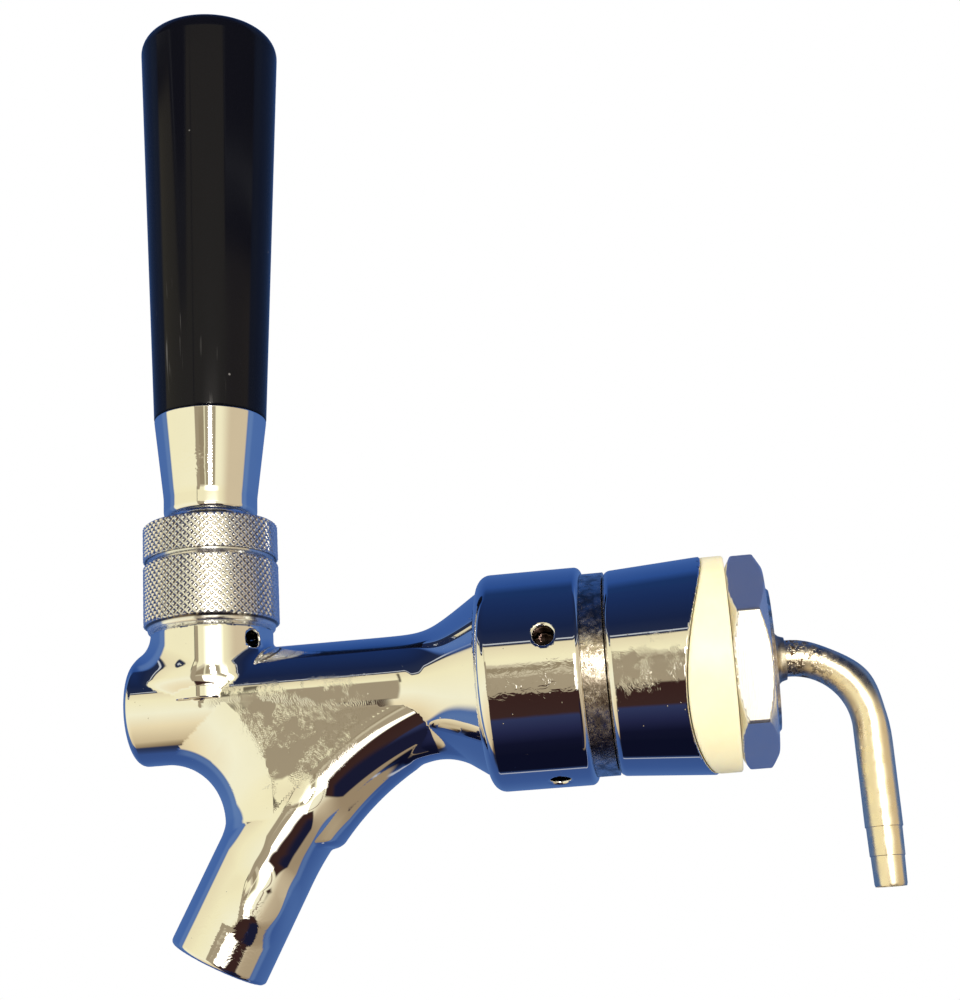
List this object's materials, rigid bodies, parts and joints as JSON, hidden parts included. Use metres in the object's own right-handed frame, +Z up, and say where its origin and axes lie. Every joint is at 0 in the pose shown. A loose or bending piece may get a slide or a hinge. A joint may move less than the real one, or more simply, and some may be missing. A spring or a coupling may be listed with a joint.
{
  "type": "draught beer faucet",
  "caption": "Polished draught beer faucet with a black tap handle, curved spout, knurled bonnet, coupling nut and a column shank with a bent hose tail.",
  "frame": {"origin": "on the shank's axis, at the crown of the flange's saddle face that meets the column", "axes": "+X along the shank towards the hose tail, +Z up the handle, +Y across; the handle leans back 0.9 degrees when closed"},
  "size_m": [0.1329, 0.0382, 0.1846],
  "materials": {
    "grip_plastic": "glossy black moulded plastic",
    "chrome_plate": "mirror chrome plate",
    "nickel_knurl": "bright nickel-plated knurl",
    "raw_collar": "rough plated collar and threads",
    "satin_nickel": "satin nickel plate",
    "stainless_steel": "semi-bright stainless steel",
    "zinc_steel": "zinc-plated steel",
    "brass": "machined brass",
    "rubber": "matte black rubber",
    "nylon": "ivory moulded nylon",
    "solder": "dull solder"
  },
  "bodies": {
    "root": {"faucet_body": "chrome_plate", "bonnet": "nickel_knurl", "bonnet_lock_ring": "nickel_knurl", "friction_washer": "brass", "ball_washer": "rubber", "bearing_cup": "brass", "coupling_nut": "chrome_plate", "coupling_snap_ring": "stainless_steel", "coupling_gasket": "rubber", "shank": "raw_collar", "column_flange": "chrome_plate", "column_spacer": "nylon", "hex_nut": "satin_nickel", "tail_elbow": "stainless_steel", "solder_fillet": "solder"},
    "lever": {"handle_grip": "grip_plastic", "handle_ferrule": "chrome_plate", "handle_stud": "zinc_steel", "lever": "stainless_steel"},
    "shaft": {"valve_shaft": "brass", "shaft_seat_washer": "rubber", "shaft_nut": "brass"}
  },
  "joints": [
    {"name": "lever_tilt", "type": "hinge", "parent": "root", "child": "lever", "pos_m": [-0.08525, 0, 0.027], "axis": [0, -1, 0], "range_deg": [0, 13]},
    {"name": "shaft_slide", "type": "slide", "parent": "root", "child": "shaft", "axis": [1, 0, 0], "range_m": [0, 0.0056]}
  ],
  "couplings": [
    {"joint": "shaft_slide", "follows": "lever_tilt", "m_per_rad": 0.02433}
  ]
}
